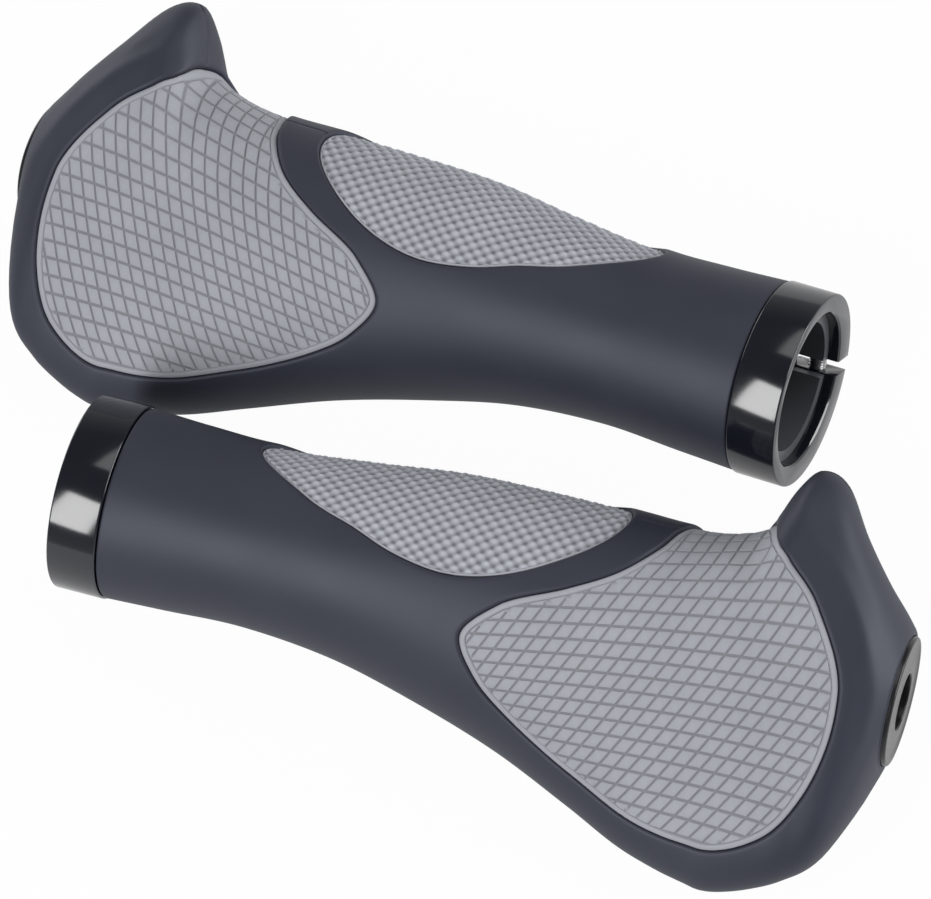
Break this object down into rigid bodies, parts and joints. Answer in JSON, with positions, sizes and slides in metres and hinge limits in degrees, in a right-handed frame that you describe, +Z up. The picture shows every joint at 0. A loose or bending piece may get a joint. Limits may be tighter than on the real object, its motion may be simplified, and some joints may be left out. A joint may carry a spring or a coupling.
{
  "type": "bar end grips",
  "caption": "Pair of ergonomic handlebar grips: black rubber with grey gel pads, a palm wing, a short forward horn, a split clamp ring and an end plug, laid side by side.",
  "frame": {"origin": "middle of the pair's box, on the table that both grips lie on", "axes": "+X along the bars, from the left grip's outer end to the right grip's; +Y the way the horns point, forward for a rider; +Z up"},
  "size_m": [0.1754, 0.1196, 0.0375],
  "materials": {
    "nylon": "hard moulded nylon, fine matte",
    "rubber": "matte black moulded rubber with a cool sheen",
    "pad": "soft light grey gel rubber, moulded texture",
    "ring": "gloss black anodised aluminium",
    "steel": "bright steel screw",
    "cap": "dark grey satin plastic"
  },
  "bodies": {
    "grips": {"right_core": "nylon", "right_body": "rubber", "right_palm_pad": "pad", "right_finger_pad": "pad", "left_core": "nylon", "left_body": "rubber", "left_palm_pad": "pad", "left_finger_pad": "pad"},
    "right_ring": {"right_clamp_ring": "ring"},
    "right_bolt": {"right_clamp_bolt": "steel"},
    "right_plug": {"right_end_plug": "cap"},
    "left_ring": {"left_clamp_ring": "ring"},
    "left_bolt": {"left_clamp_bolt": "steel"},
    "left_plug": {"left_end_plug": "cap"}
  },
  "joints": [
    {"name": "right_ring_slide", "type": "slide", "parent": "grips", "child": "right_ring", "axis": [-0.9979, -0.0446, 0.0475], "range_m": [0, 0.012]},
    {"name": "right_bolt_turn", "type": "hinge", "parent": "right_ring", "child": "right_bolt", "pos_m": [-0.05272, -0.01726, 0.01027], "axis": [-0.0015, 0.7438, 0.6684], "continuous": true},
    {"name": "right_plug_slide", "type": "slide", "parent": "grips", "child": "right_plug", "axis": [0.9979, 0.0446, -0.0475], "range_m": [0, 0.012]},
    {"name": "left_ring_slide", "type": "slide", "parent": "grips", "child": "left_ring", "axis": [0.9979, -0.0446, 0.0475], "range_m": [0, 0.012]},
    {"name": "left_bolt_turn", "type": "hinge", "parent": "left_ring", "child": "left_bolt", "pos_m": [0.05272, 0.03485, 0.01027], "axis": [0.0015, 0.7438, 0.6684], "continuous": true},
    {"name": "left_plug_slide", "type": "slide", "parent": "grips", "child": "left_plug", "axis": [-0.9979, 0.0446, -0.0475], "range_m": [0, 0.012]}
  ]
}
